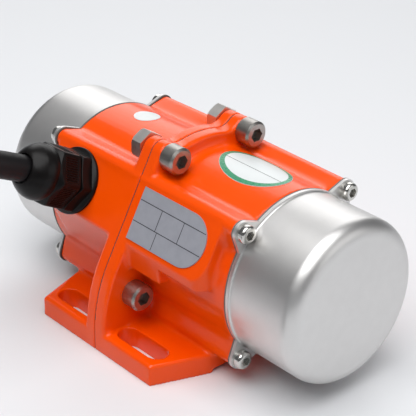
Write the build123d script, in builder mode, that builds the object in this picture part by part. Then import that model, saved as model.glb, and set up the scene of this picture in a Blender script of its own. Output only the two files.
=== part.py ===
from build123d import *
from math import acos, asin, atan2, cos, pi, radians, sin, sqrt, tan
import os

os.makedirs("parts", exist_ok=True)

# Vibration motor: two cast housing halves bolted at a mid flange with slotted feet, a drawn cap over the
# eccentric weights at each end, and a single-phase motor between them. +X runs along the shaft to the front
# cap, +Z is up and z = 0 is the mounting face. The viewer's side, with the rating plate, is -Y.

# Shaft line, castings and their joints
shaft_height = 45.8
half_body = 62.7
barrel_radius = 40.0
barrel_draft = 1.0
barrel_wall = 4.5
seam_thickness = 0.8
flange_face = 6.75
flange_rise = 7.6
flange_edge_round = 1.7

# Mid flange bolts and the slanted sides of the flange
bolt_radius = 4.0
bolt_clearance = 0.2
top_bolt_y = 23.1
bolt_rise = 2.1
low_bolt_y = 45.6
low_bolt_z = 27.1
lug_radius = 6.2
lug_blend = 9.0
side_lean = 28.2
side_arc_radius = 72.0

# Base with its feet and slots
foot_half_width = 63.3
foot_thickness = 10.4
foot_length = 40.2
foot_waist_y = 36.0
base_length = 50.0
foot_round = 2.0
slot_x = 23.15
slot_y = 53.0
slot_length = 31.0
slot_width = 10.5
relief_depth = 1.5
relief_half_width = 34.0

# Corner lobes of the castings, with the cap screws in their ends
lobe_offset = 31.6
lobe_radius = 4.5
lobe_rise = 1.0
lobe_growth = 0.4
lobe_valley = 33.0
screw_radius = 2.5
screw_depth = 12.0

# Pads raised on the slanted side, one for the rating plate and one for the cable gland
pad_top = 12.5
pad_bottom = 43.7
pad_setback = 6.2
pad_corner = 6.5
pad_wall_drop = 5.0
pad_block_drop = 13.0
pad_block_end = 28.0
pad_wall_draft = 8.5
pad_edge_round = 1.0
gland_pad_setback = 2.2
gland_pad_corner = 8.0
gland_setback = 22.7
gland_drop = 30.0

# End caps and their gaskets
cap_gasket = 0.8
cap_sheet = 1.5
cap_wall_radius = 39.05
cap_depth = 39.0
cap_end_round = 7.0
cap_root_round = 0.7
ear_radius = 5.2
cap_screw_head_radius = 4.3
cap_screw_head_height = 4.0
cap_screw_dome = 1.6
cap_screw_key = 4.0

# Main bolts and nuts
bolt_head_radius = 6.5
bolt_head_height = 8.0
bolt_head_chamfer = 1.0
bolt_key = 6.0
bolt_key_depth = 4.0
bolt_tail = 2.0
nut_width = 13.0
nut_height = 6.5
nut_chamfer = 0.7

# Motor inside the castings
bearing_wall = 2.0
stator_half_length = 24.0
stator_bore_radius = 19.4
stator_slots = 18
slot_depth = 9.0
slot_across = 4.2
slot_mouth = 1.6
slot_lip = 1.2
winding_inner_radius = 21.5
winding_outer_radius = 32.0
winding_length = 15.0
winding_round = 3.5
air_gap = 0.4
end_ring_length = 6.0
end_ring_inner_radius = 11.0
rotor_vanes = 8
vane_height = 5.0
vane_thickness = 1.6
vane_root = 12.0
rotor_shaft_radius = 8.0
snug = 0.03

# Bearings, one in each end wall
bearing_setback = 2.7
bearing_width = 11.0
bearing_outer_radius = 17.5
bearing_bore_radius = 7.5
bearing_lip = 2.0
bearing_boss = 4.5
ball_radius = 3.0
ball_count = 8
ball_play = 0.05
land = 2.1
cage_thickness = 2.0
cage_side = 0.6
circlip_thickness = 1.1
circlip_bite = 0.9
circlip_depth = 2.6
circlip_gap = 14.0
recess_depth = 8.7

# Eccentric weights on the shaft ends
weight_gap = 3.3
weight_thickness = 11.0
weight_radius = 33.0
weight_angle = 150.0
weight_hub_radius = 11.0
weight_spacer = 1.0
weight_spacer_radius = 9.5
stub_radius = 6.0
stub_tail = 3.5
key_width = 4.0
key_height = 4.0
key_length = 9.0
clamp_slit = 1.6
clamp_screw_radius = 2.0
clamp_screw_offset = 9.0
clamp_head_radius = 3.5

# Rating plate and labels
plate_start = 5.6
plate_margin = 4.5
plate_top = 16.2
plate_height = 24.9
plate_round = 12.4
plate_thickness = 0.5
label_thickness = 0.2
oval_setback = 28.0
oval_arc = 3.6
oval_half_length = 20.3
oval_half_width = 14.2
oval_turn = -6.0
dot_setback = 20.9
dot_arc = 3.1
dot_radius = 6.5

# Cable gland on its pad
gland_thread_radius = 11.0
gland_thread_length = 8.0
gland_run_out = 6.0
gland_flange_radius = 16.2
gland_flange_height = 2.0
gland_spot_clearance = 0.4
gland_hex = 27.0
gland_chamfer = 1.0
gland_body_height = 8.0
gland_neck_radius = 11.4
gland_neck_end = 19.0
gland_gap = 1.0
gland_nut_hex_end = 21.0
gland_nut_chamfer = 2.6
gland_mouth = 33.5
gland_dome_radius = 13.0
gland_dome_bulge = 2.2
gland_mouth_radius = 9.0
gland_bore_radius = 7.0
seal_radius = 10.4
seal_start = 20.0
seal_length = 6.0

# Cable, its coil and its plug
cable_radius = 6.5
cable_play = 0.05
coil_radius = 65.0
plug_relief_length = 30.0
plug_length = 38.0
plug_width = 34.0
plug_height = 28.0
plug_round = 6.0
plug_relief_radius = 8.0
pin_length = 18.0
pin_width = 6.3
pin_thickness = 1.6
pin_spread = 6.5

# Points of the cable's route from the gland to the floor
cable_run = [
    (-52.0, -137.6, 96.0),
    (-72.5, -169.5, 78.0),
    (-86.7, -188.7, 43.3),
    (-87.7, -212.2, 19.8),
]
first_run = 42.0
landing_run = 33.2

# The coil's middle, where the cable enters and leaves it, and the tail's points down to the plug
coil_x = 6.0
coil_y = -291.5
coil_entry = 200.0
coil_exit = 330.0
coil_climb = 30.0
tail_run = 28.0
plug_x = 84.0
plug_y = -215.0
tail_bow = 1.0

# Values that follow from the sizes above
seam_half = seam_thickness / 2
flange_radius = barrel_radius + flange_rise
crown_z = shaft_height + sqrt(flange_radius**2 - top_bolt_y**2)
top_bolt_z = crown_z + bolt_rise
side_normal = (0, -cos(radians(side_lean)), sin(radians(side_lean)))
side_down = (0, -sin(radians(side_lean)), -cos(radians(side_lean)))
side_foot_y = -top_bolt_y + lug_radius * side_normal[1]
side_foot_z = top_bolt_z + lug_radius * side_normal[2]
side_plane = Plane(origin=(0, side_foot_y, side_foot_z), x_dir=(1, 0, 0), z_dir=side_normal)
cavity_radius = barrel_radius - barrel_wall
bearing_end = half_body - bearing_setback
bearing_start = bearing_end - bearing_width
cavity_length = bearing_start - bearing_wall
wall_recess = half_body - recess_depth
weight_seat = half_body + weight_gap
pad_length = half_body - pad_setback
gland_pad_length = half_body - gland_pad_setback
gland_x = gland_setback - half_body
plate_end = pad_length - plate_margin
oval_x = half_body - oval_setback
dot_x = dot_setback - half_body
cap_seat = half_body + cap_gasket
cap_end = cap_seat + cap_depth
cap_face = cap_seat + cap_sheet
second_weight = weight_seat + weight_thickness + weight_spacer + snug
weights_end = second_weight + weight_thickness
shaft_axis = Axis((0, 0, shaft_height), (1, 0, 0))
lobe_places = [(y * lobe_offset, shaft_height + z * lobe_offset) for y in (-1, 1) for z in (-1, 1)]
top_bolts = [(-top_bolt_y, top_bolt_z), (top_bolt_y, top_bolt_z)]
low_bolts = [(-low_bolt_y, low_bolt_z), (low_bolt_y, low_bolt_z)]
bolt_places = top_bolts + low_bolts


def across(x):
    """The plane across the shaft at x, with Y and Z as its own two directions."""
    return Plane.YZ.offset(x)


def on_side(x, drop):
    """A point of the slanted side plane, this far below its top bolt."""
    return (x, side_foot_y + drop * side_down[1], side_foot_z + drop * side_down[2])


def tangent_point(start, centre, radius, turn):
    """Where a line from start touches a circle; turn is 1 or -1 for the two sides."""
    across = centre[0] - start[0]
    up = centre[1] - start[1]
    reach = sqrt(across**2 + up**2)
    angle = atan2(up, across) + turn * asin(radius / reach)
    length = sqrt(reach**2 - radius**2)
    return (start[0] + length * cos(angle), start[1] + length * sin(angle))


def lobe_outline(x, offset, rise, radius, rim, way_y, way_z):
    """A corner lobe's section at x: two straight flanks from the barrel to a round nose."""
    centre = (way_y * offset, way_z * (offset + rise))
    near = radians(lobe_valley)
    low = (way_y * rim * cos(near), way_z * rim * sin(near))
    high = (way_y * rim * sin(near), way_z * rim * cos(near))
    turn = way_y * way_z
    low_touch = tangent_point(low, centre, radius, -turn)
    high_touch = tangent_point(high, centre, radius, turn)
    reach = sqrt(centre[0] ** 2 + centre[1] ** 2)
    nose = (centre[0] * (1 + radius / reach), centre[1] * (1 + radius / reach))
    core = (way_y * rim / 2, way_z * rim / 2)
    with BuildSketch(Plane(origin=(x, 0, shaft_height), x_dir=(0, 1, 0), z_dir=(1, 0, 0))) as outline:
        with BuildLine():
            Line(core, low)
            Line(low, low_touch)
            ThreePointArc(low_touch, nose, high_touch)
            Line(high_touch, high)
            Line(high, core)
        make_face()
    return outline.sketch


def disc(start, end, outer, inner=0):
    """A round disc or ring about the shaft's axis, from start to end along X."""
    with BuildPart() as made:
        with BuildSketch(across(start)):
            with Locations((0, shaft_height)):
                Circle(outer)
                if inner:
                    Circle(inner, mode=Mode.SUBTRACT)
        extrude(amount=end - start)
    return made.part


def flange_outline(x):
    """The mid flange seen along the shaft: lugs, top arc, slanted sides and the vertical foot edges."""
    arc_y = -foot_half_width + side_arc_radius
    touch_y = arc_y - side_arc_radius * cos(radians(side_lean))
    touch_z = side_foot_z + (side_foot_y - touch_y) / side_down[1] * cos(radians(side_lean))
    arc_z = touch_z - side_arc_radius * sin(radians(side_lean))
    half = radians(side_lean / 2)
    middle = (arc_y - side_arc_radius * cos(half), arc_z + side_arc_radius * sin(half))
    with BuildSketch(across(x)) as outline:
        with BuildLine():
            Line((0, 0), (-foot_half_width, 0))
            Line((-foot_half_width, 0), (-foot_half_width, arc_z))
            ThreePointArc((-foot_half_width, arc_z), middle, (touch_y, touch_z))
            Line((touch_y, touch_z), (side_foot_y, side_foot_z))
            Line((side_foot_y, side_foot_z), top_bolts[0])
            Line(top_bolts[0], (-top_bolt_y, crown_z))
            mirror(about=Plane.YZ)
            ThreePointArc((-top_bolt_y, crown_z), (0, shaft_height + flange_radius), (top_bolt_y, crown_z))
        make_face()
        with Locations(*top_bolts):
            Circle(lug_radius)
        creases = outline.vertices().filter_by(lambda v: v.Y > crown_z)
        creases = creases.filter_by(lambda v: abs(v.X) < top_bolt_y)
        fillet(creases, lug_blend)
    return outline.sketch


def casting_form():
    """The form that both housing halves share, before their pads and bores."""
    with BuildPart() as form:
        with BuildSketch(Plane.XY):
            with BuildLine():
                Line((seam_half, 0), (seam_half, -foot_half_width))
                Line((seam_half, -foot_half_width), (foot_length, -foot_half_width))
                Line((foot_length, -foot_half_width), (base_length, -foot_waist_y))
                Line((base_length, -foot_waist_y), (base_length, 0))
                mirror(about=Plane.XZ)
            make_face()
        extrude(amount=foot_thickness)
        top_edges = form.edges().group_by(Axis.Z)[-1].filter_by(lambda e: e.center().X > flange_face)
        fillet(top_edges, foot_round)
        add(flange_plate())
        with BuildSketch(Plane.XZ):
            with BuildLine():
                Polyline(
                    (seam_half, shaft_height),
                    (seam_half, shaft_height + barrel_radius + (half_body - seam_half) * tan(radians(barrel_draft))),
                    (half_body, shaft_height + barrel_radius),
                    (half_body, shaft_height),
                    close=True,
                )
            make_face()
        revolve(axis=shaft_axis)
        for way_y in (-1, 1):
            for way_z in (-1, 1):
                end = lobe_outline(half_body, lobe_offset, 0, lobe_radius, barrel_radius, way_y, way_z)
                root_radius = lobe_radius + lobe_growth
                root = lobe_outline(seam_half, lobe_offset - lobe_growth, lobe_rise, root_radius, barrel_radius,
                                    way_y, way_z)
                loft([root, end])
    return form.part


def flange_plate():
    """One half's flange, with its outer front edge rounded all the way."""
    with BuildPart() as plate:
        extrude(flange_outline(seam_half), amount=flange_face - seam_half)
        rim = plate.faces().sort_by(Axis.X)[-1].outer_wire().edges()
        rim = rim.filter_by(lambda e: e.center().Z > foot_thickness / 4)
        fillet(rim, flange_edge_round)
    return plate.part


def bore_casting():
    """What is cut out of each half along the shaft: the stator's seat, the bearing bore and the recesses."""
    lip_radius = bearing_outer_radius - bearing_lip
    groove_end = bearing_end + circlip_thickness
    boss_radius = bearing_outer_radius + bearing_boss
    with BuildPart() as cuts:
        add(disc(-1, cavity_length, cavity_radius))
        add(disc(0, bearing_start, lip_radius))
        add(disc(bearing_start, half_body + 1, bearing_outer_radius + snug))
        add(disc(bearing_end, groove_end, bearing_outer_radius + circlip_bite))
        add(disc(wall_recess, half_body + 1, cavity_radius - 1, boss_radius))
        with BuildSketch(across(half_body)):
            with Locations(*lobe_places):
                Circle(screw_radius)
        extrude(amount=-screw_depth)
        with BuildSketch(across(-1)):
            with Locations(*bolt_places):
                Circle(bolt_radius + bolt_clearance)
        extrude(amount=flange_face + 2)
        with BuildSketch(Plane.XY.offset(-1)):
            with Locations((slot_x, -slot_y), (slot_x, slot_y)):
                SlotOverall(slot_length, slot_width)
        extrude(amount=foot_thickness + 2)
        with BuildSketch(Plane.XY):
            with Locations((0, 0)):
                Rectangle(3 * base_length, 2 * relief_half_width)
        extrude(amount=relief_depth)
    return cuts.part


form = casting_form()
cuts = bore_casting()

corner_y, corner_z = on_side(0, pad_bottom)[1:]
pad_core = -barrel_radius / 2


def pad_profile(wall_drop):
    """The front pad seen along the shaft: the slanted face, and a drafted wall this high under it."""
    wall_y = corner_y + wall_drop * sin(radians(pad_wall_draft))
    wall_z = corner_z - wall_drop * cos(radians(pad_wall_draft))
    with BuildSketch(across(seam_half)) as profile:
        with BuildLine():
            Polyline(
                on_side(0, pad_top)[1:],
                (corner_y, corner_z),
                (wall_y, wall_z),
                (pad_core, wall_z),
                (pad_core, shaft_height + lobe_offset),
                close=True,
            )
        make_face()
    return profile.sketch


# Front housing half: the shared casting with the raised pad that carries the rating plate. The pad's wall is
# deeper next to the flange, where the wires from the other half come through.
with BuildPart() as housing_front:
    extrude(pad_profile(pad_wall_drop), amount=pad_length - seam_half)
    extrude(pad_profile(pad_block_drop), amount=pad_block_end - seam_half)
    end_edges = housing_front.faces().sort_by(Axis.X)[-1].edges()
    corner_edge = end_edges.sort_by(lambda e: e.center().Y)[0]
    fillet(corner_edge, pad_corner)
    pad_face = housing_front.faces().filter_by(lambda f: abs(f.normal_at().Y - side_normal[1]) < 0.01)[0]
    pad_rim = pad_face.edges().filter_by(lambda e: e.center().X > flange_face)
    pad_rim = pad_rim.filter_by(lambda e: e.center().Z < on_side(0, pad_top + 1)[2])
    fillet(pad_rim, pad_edge_round)
    add(form)
    add(cuts, mode=Mode.SUBTRACT)
housing_front.part.label = "housing_front"
export_step(housing_front.part, "parts/housing_front.step")

# Rear housing half: the mirrored casting with the wiring pocket's wall, and the tapped hole and spot face for
# the gland
reach = sqrt((corner_y) ** 2 + (corner_z - shaft_height) ** 2)
touch_angle = atan2(corner_z - shaft_height, -corner_y) - acos(barrel_radius / reach)
touch = (-barrel_radius * cos(touch_angle), shaft_height + barrel_radius * sin(touch_angle))
gland_plane = Plane(origin=on_side(gland_x, gland_drop), x_dir=(1, 0, 0), z_dir=side_normal)
with BuildPart() as housing_rear:
    with BuildSketch(across(-seam_half)):
        with BuildLine():
            Polyline(
                on_side(0, pad_top)[1:],
                (corner_y, corner_z),
                touch,
                (pad_core, touch[1]),
                (pad_core, shaft_height + lobe_offset),
                close=True,
            )
        make_face()
    extrude(amount=-(gland_pad_length - seam_half))
    end_edges = housing_rear.faces().sort_by(Axis.X)[0].edges()
    corner_edge = end_edges.filter_by(lambda e: e.center().Z < corner_z)
    fillet(corner_edge.sort_by(lambda e: e.center().Y)[0], gland_pad_corner)
    pad_face = housing_rear.faces().filter_by(lambda f: abs(f.normal_at().Y - side_normal[1]) < 0.01)[0]
    pad_rim = pad_face.edges().filter_by(lambda e: e.center().X < -flange_face)
    pad_rim = pad_rim.filter_by(lambda e: e.center().Z < on_side(0, pad_top + 1)[2])
    fillet(pad_rim, pad_edge_round)
    mirror(form, about=Plane.YZ)
    mirror(cuts, about=Plane.YZ, mode=Mode.SUBTRACT)
    with BuildSketch(gland_plane):
        Circle(gland_thread_radius + snug)
    extrude(amount=-(gland_thread_length + gland_run_out), mode=Mode.SUBTRACT)
    with BuildSketch(gland_plane):
        Circle(gland_flange_radius + gland_spot_clearance)
    extrude(amount=gland_flange_height, mode=Mode.SUBTRACT)
housing_rear.part.label = "housing_rear"
export_step(housing_rear.part, "parts/housing_rear.step")

# Seam gasket between the halves: the flange outline with the bore and the bolt holes cut from it
with BuildPart() as body_gasket:
    extrude(flange_outline(-seam_half), amount=seam_thickness)
    add(disc(-seam_half, seam_half, cavity_radius), mode=Mode.SUBTRACT)
    with BuildSketch(across(-seam_half)):
        with Locations(*bolt_places):
            Circle(bolt_radius + bolt_clearance)
    extrude(amount=seam_thickness, mode=Mode.SUBTRACT)
    with BuildSketch(Plane.XY):
        Rectangle(3 * base_length, 2 * relief_half_width)
    extrude(amount=relief_depth, mode=Mode.SUBTRACT)
body_gasket.part.label = "body_gasket"
export_step(body_gasket.part, "parts/body_gasket.step")


def eared_plate(x, thickness, rim, nose, bore):
    """A flat ring with four rounded ears for the cap screws."""
    with BuildPart() as plate:
        add(disc(x, x + thickness, rim))
        for way_y in (-1, 1):
            for way_z in (-1, 1):
                ear = lobe_outline(x, lobe_offset, 0, nose, rim, way_y, way_z)
                extrude(ear, amount=thickness)
        add(disc(x, x + thickness, bore), mode=Mode.SUBTRACT)
        with BuildSketch(across(x)):
            with Locations(*lobe_places):
                Circle(screw_radius)
        extrude(amount=thickness, mode=Mode.SUBTRACT)
    return plate.part


# Cap gaskets, cut a little smaller than the caps' ears
with BuildPart() as front_cap_gasket:
    add(eared_plate(half_body, cap_gasket, barrel_radius, ear_radius, cavity_radius))
front_cap_gasket.part.label = "front_cap_gasket"
export_step(front_cap_gasket.part, "parts/front_cap_gasket.step")

with BuildPart() as rear_cap_gasket:
    mirror(front_cap_gasket.part, about=Plane.YZ)
rear_cap_gasket.part.label = "rear_cap_gasket"
export_step(rear_cap_gasket.part, "parts/rear_cap_gasket.step")

# End caps: deep-drawn cups of one sheet thickness with an eared flange
cap_inner_radius = cap_wall_radius - cap_sheet
with BuildPart() as front_cap:
    add(disc(cap_seat, cap_end, cap_wall_radius))
    fillet(front_cap.faces().sort_by(Axis.X)[-1].edges(), cap_end_round)
    add(eared_plate(cap_seat, cap_sheet, barrel_radius, ear_radius, cap_inner_radius))
    root = front_cap.edges().filter_by(GeomType.CIRCLE).filter_by(lambda e: abs(e.radius - cap_wall_radius) < 0.01)
    fillet(root.filter_by(lambda e: abs(e.center().X - cap_face) < 0.01), cap_root_round)
    with BuildPart(mode=Mode.PRIVATE) as hollow:
        add(disc(cap_seat, cap_end - cap_sheet, cap_inner_radius))
        fillet(hollow.faces().sort_by(Axis.X)[-1].edges(), cap_end_round - cap_sheet)
    add(hollow.part, mode=Mode.SUBTRACT)
front_cap.part.label = "front_cap"
export_step(front_cap.part, "parts/front_cap.step")

with BuildPart() as rear_cap:
    mirror(front_cap.part, about=Plane.YZ)
rear_cap.part.label = "rear_cap"
export_step(rear_cap.part, "parts/rear_cap.step")

# Cap screws: domed socket heads on the ears, threaded into the ends of the lobes
with BuildPart() as front_cap_screws:
    with BuildSketch(across(cap_face)):
        with Locations(*lobe_places):
            Circle(cap_screw_head_radius)
    extrude(amount=cap_screw_head_height)
    fillet(front_cap_screws.faces().filter_by(Plane.YZ).group_by(Axis.X)[-1].edges(), cap_screw_dome)
    with BuildSketch(across(cap_face + cap_screw_head_height)):
        with Locations(*lobe_places):
            RegularPolygon(cap_screw_key / 2, 6, major_radius=False)
    extrude(amount=-cap_screw_head_height / 2, mode=Mode.SUBTRACT)
    with BuildSketch(across(cap_face)):
        with Locations(*lobe_places):
            Circle(screw_radius - snug)
    extrude(amount=-(cap_gasket + cap_sheet + screw_depth - 1))
front_cap_screws.part.label = "front_cap_screws"
export_step(front_cap_screws.part, "parts/front_cap_screws.step")

with BuildPart() as rear_cap_screws:
    mirror(front_cap_screws.part, about=Plane.YZ)
rear_cap_screws.part.label = "rear_cap_screws"
export_step(rear_cap_screws.part, "parts/rear_cap_screws.step")

# Main bolts: socket heads on the front flange face, shanks through both flanges to the nuts
with BuildPart() as main_bolts:
    with BuildSketch(across(flange_face)):
        with Locations(*bolt_places):
            Circle(bolt_head_radius)
    extrude(amount=bolt_head_height)
    top_faces = main_bolts.faces().filter_by(Plane.YZ).group_by(Axis.X)[-1]
    chamfer(top_faces.edges(), bolt_head_chamfer)
    with BuildSketch(across(flange_face + bolt_head_height)):
        with Locations(*bolt_places):
            RegularPolygon(bolt_key / 2, 6, major_radius=False)
    extrude(amount=-bolt_key_depth, mode=Mode.SUBTRACT)
    with BuildSketch(across(flange_face)):
        with Locations(*bolt_places):
            Circle(bolt_radius)
    extrude(amount=-(2 * flange_face + nut_height + bolt_tail))
main_bolts.part.label = "main_bolts"
export_step(main_bolts.part, "parts/main_bolts.step")

# Main nuts: chamfered hexagons on the rear flange face, each with a corner up
with BuildPart() as nut:
    with BuildSketch(Plane.YZ):
        RegularPolygon(nut_width / 2, 6, major_radius=False, rotation=30)
        Circle(bolt_radius + snug, mode=Mode.SUBTRACT)
    extrude(amount=-nut_height)
    with BuildPart(mode=Mode.INTERSECT):
        with BuildSketch(Plane.YZ):
            Circle(nut_width / sqrt(3))
        extrude(amount=-nut_height)
        chamfer(edges().group_by(Axis.X)[0], nut_chamfer)
with BuildPart() as main_nuts:
    with Locations(*[(-flange_face, y, z) for y, z in bolt_places]):
        add(nut.part)
main_nuts.part.label = "main_nuts"
export_step(main_nuts.part, "parts/main_nuts.step")

# Stator core: a slotted stack of laminations pressed into the two halves
with BuildPart() as stator_core:
    with BuildSketch(across(-stator_half_length)):
        with Locations((0, shaft_height)):
            Circle(cavity_radius - snug)
            Circle(stator_bore_radius, mode=Mode.SUBTRACT)
            with PolarLocations(stator_bore_radius + slot_lip + slot_depth / 2, stator_slots):
                Rectangle(slot_depth, slot_across, mode=Mode.SUBTRACT)
            with PolarLocations(stator_bore_radius + slot_lip / 2, stator_slots):
                Rectangle(2 * slot_lip, slot_mouth, mode=Mode.SUBTRACT)
    extrude(amount=2 * stator_half_length)
stator_core.part.label = "stator_core"
export_step(stator_core.part, "parts/stator_core.step")

# End windings: lacquered coil heads against both ends of the stator
with BuildPart() as front_winding:
    winding_end = stator_half_length + winding_length
    add(disc(stator_half_length, winding_end, winding_outer_radius, winding_inner_radius))
    fillet(front_winding.faces().sort_by(Axis.X)[-1].edges(), winding_round)
front_winding.part.label = "front_winding"
export_step(front_winding.part, "parts/front_winding.step")

with BuildPart() as rear_winding:
    mirror(front_winding.part, about=Plane.YZ)
rear_winding.part.label = "rear_winding"
export_step(rear_winding.part, "parts/rear_winding.step")

# Rotor core, pressed on the shaft, and its two cast end rings with cooling vanes
rotor_radius = stator_bore_radius - air_gap
with BuildPart() as rotor_core:
    add(disc(-stator_half_length, stator_half_length, rotor_radius, rotor_shaft_radius + snug))
rotor_core.part.label = "rotor_core"
export_step(rotor_core.part, "parts/rotor_core.step")

ring_face = stator_half_length + end_ring_length
vane_length = rotor_radius - air_gap - vane_root
with BuildPart() as rotor_end_rings:
    add(disc(stator_half_length, ring_face, rotor_radius - air_gap, end_ring_inner_radius))
    with BuildSketch(across(ring_face)):
        with Locations((0, shaft_height)):
            with PolarLocations(vane_root + vane_length / 2, rotor_vanes):
                Rectangle(vane_length, vane_thickness)
    extrude(amount=vane_height)
    mirror(rotor_end_rings.part, about=Plane.YZ)
rotor_end_rings.part.label = "rotor_end_rings"
export_step(rotor_end_rings.part, "parts/rotor_end_rings.step")

# Shaft: stepped down to the bearings and again to the weights, with keyways and circlip grooves
groove_start = weights_end
groove_length = circlip_thickness
stub_end = groove_start + groove_length + stub_tail
key_seat = stub_radius - key_height / 2
with BuildPart() as shaft:
    with BuildSketch(Plane.XZ):
        with BuildLine():
            Polyline(
                (0, shaft_height),
                (0, shaft_height + rotor_shaft_radius),
                (bearing_start, shaft_height + rotor_shaft_radius),
                (bearing_start, shaft_height + bearing_bore_radius),
                (weight_seat, shaft_height + bearing_bore_radius),
                (weight_seat, shaft_height + stub_radius),
                (groove_start, shaft_height + stub_radius),
                (groove_start, shaft_height + stub_radius - circlip_bite),
                (groove_start + groove_length, shaft_height + stub_radius - circlip_bite),
                (groove_start + groove_length, shaft_height + stub_radius),
                (stub_end - 1, shaft_height + stub_radius),
                (stub_end, shaft_height + stub_radius - 1),
                (stub_end, shaft_height),
                close=True,
            )
        make_face()
    revolve(axis=shaft_axis)
    with BuildSketch(Plane.XY.offset(shaft_height + key_seat)):
        with Locations((weight_seat + weight_thickness / 2, 0)):
            Rectangle(key_length, key_width)
    extrude(amount=key_height, mode=Mode.SUBTRACT)
    mirror(shaft.part, about=Plane.YZ)
shaft.part.label = "shaft"
export_step(shaft.part, "parts/shaft.step")

# Bearings: grooved rings, eight balls and a pocketed cage in each end wall
bearing_middle = bearing_start + bearing_width / 2
pitch_radius = (bearing_outer_radius + bearing_bore_radius) / 2
groove_radius = ball_radius + ball_play
ball_places = [
    (
        bearing_middle,
        pitch_radius * sin(2 * pi * n / ball_count),
        shaft_height + pitch_radius * cos(2 * pi * n / ball_count),
    )
    for n in range(ball_count)
]


def raceway():
    """The ring of space that the balls run in."""
    with BuildPart() as space:
        with BuildSketch(Plane.XZ):
            with Locations((bearing_middle, shaft_height + pitch_radius)):
                Circle(groove_radius)
        revolve(axis=shaft_axis)
    return space.part


race = raceway()
with BuildPart() as front_bearing_outer:
    add(disc(bearing_start, bearing_end, bearing_outer_radius, pitch_radius + land))
    add(race, mode=Mode.SUBTRACT)
front_bearing_outer.part.label = "front_bearing_outer"
export_step(front_bearing_outer.part, "parts/front_bearing_outer.step")

with BuildPart() as front_bearing_inner:
    add(disc(bearing_start, bearing_end, pitch_radius - land, bearing_bore_radius + snug))
    add(race, mode=Mode.SUBTRACT)
front_bearing_inner.part.label = "front_bearing_inner"
export_step(front_bearing_inner.part, "parts/front_bearing_inner.step")

with BuildPart() as front_bearing_balls:
    with Locations(*ball_places):
        Sphere(ball_radius)
front_bearing_balls.part.label = "front_bearing_balls"
export_step(front_bearing_balls.part, "parts/front_bearing_balls.step")

cage_half = ball_radius + ball_play + cage_side
with BuildPart() as front_bearing_cage:
    cage_outer = pitch_radius + cage_thickness / 2
    cage_inner = pitch_radius - cage_thickness / 2
    add(disc(bearing_middle - cage_half, bearing_middle + cage_half, cage_outer, cage_inner))
    with Locations(*ball_places):
        Sphere(ball_radius + ball_play, mode=Mode.SUBTRACT)
front_bearing_cage.part.label = "front_bearing_cage"
export_step(front_bearing_cage.part, "parts/front_bearing_cage.step")

# Circlip in the groove of the bearing bore, open at the top between its two ends
with BuildPart() as front_circlip:
    clip_outer = bearing_outer_radius + circlip_bite - snug
    add(disc(bearing_end, bearing_end + circlip_thickness - snug, clip_outer, clip_outer - circlip_depth))
    with BuildSketch(across(bearing_end)):
        with Locations((0, shaft_height + clip_outer)):
            Rectangle(circlip_gap, 2 * circlip_depth + bearing_boss)
    extrude(amount=circlip_thickness, mode=Mode.SUBTRACT)
front_circlip.part.label = "front_circlip"
export_step(front_circlip.part, "parts/front_circlip.step")


def sector(x, thickness):
    """An eccentric weight's blank: a heavy sector hanging below a round hub, bored for the shaft end."""
    half = radians(weight_angle / 2)
    left = (-weight_radius * sin(half), shaft_height - weight_radius * cos(half))
    right = (weight_radius * sin(half), shaft_height - weight_radius * cos(half))
    with BuildPart() as blank:
        with BuildSketch(across(x)):
            with BuildLine():
                Line((0, shaft_height), left)
                ThreePointArc(left, (0, shaft_height - weight_radius), right)
                Line(right, (0, shaft_height))
            make_face()
            with Locations((0, shaft_height)):
                Circle(weight_hub_radius)
                Circle(stub_radius + snug, mode=Mode.SUBTRACT)
        extrude(amount=thickness)
    return blank.part


# Fixed weight, keyed to the shaft against its shoulder
with BuildPart() as front_fixed_weight:
    add(sector(weight_seat, weight_thickness))
    with BuildSketch(across(weight_seat)):
        with Locations((0, shaft_height + key_seat + key_height / 2)):
            Rectangle(key_width + 2 * snug, key_height + 2 * snug)
    extrude(amount=weight_thickness, mode=Mode.SUBTRACT)
front_fixed_weight.part.label = "front_fixed_weight"
export_step(front_fixed_weight.part, "parts/front_fixed_weight.step")

with BuildPart() as front_key:
    with BuildSketch(Plane.XY.offset(shaft_height + key_seat)):
        with Locations((weight_seat + weight_thickness / 2, 0)):
            Rectangle(key_length - 2 * snug, key_width - 2 * snug)
    extrude(amount=key_height)
front_key.part.label = "front_key"
export_step(front_key.part, "parts/front_key.step")

with BuildPart() as front_weight_spacer:
    spacer_start = weight_seat + weight_thickness
    add(disc(spacer_start, spacer_start + weight_spacer, weight_spacer_radius, stub_radius + snug))
front_weight_spacer.part.label = "front_weight_spacer"
export_step(front_weight_spacer.part, "parts/front_weight_spacer.step")

# Adjustable weight, set by hand to any angle from the fixed one and clamped by its split hub's screw
clamp_x = second_weight + weight_thickness / 2
clamp_z = shaft_height + clamp_screw_offset
hub_top = shaft_height + weight_hub_radius
with BuildPart() as front_adjustable_weight:
    add(sector(second_weight, weight_thickness))
    with BuildSketch(across(second_weight)):
        with Locations((0, hub_top)):
            Rectangle(2 * clamp_screw_offset, weight_hub_radius)
        with Locations((0, shaft_height)):
            Circle(stub_radius + snug, mode=Mode.SUBTRACT)
    extrude(amount=weight_thickness)
    with BuildSketch(across(second_weight)):
        with Locations((0, hub_top)):
            Rectangle(clamp_slit, 2 * (weight_hub_radius - stub_radius) + weight_hub_radius)
    extrude(amount=weight_thickness, mode=Mode.SUBTRACT)
    with BuildSketch(Plane.XZ):
        with Locations((clamp_x, clamp_z + stub_radius / 2)):
            Circle(clamp_screw_radius + snug)
    extrude(amount=2 * clamp_screw_offset, both=True, mode=Mode.SUBTRACT)
front_adjustable_weight.part.label = "front_adjustable_weight"
export_step(front_adjustable_weight.part, "parts/front_adjustable_weight.step")

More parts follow.
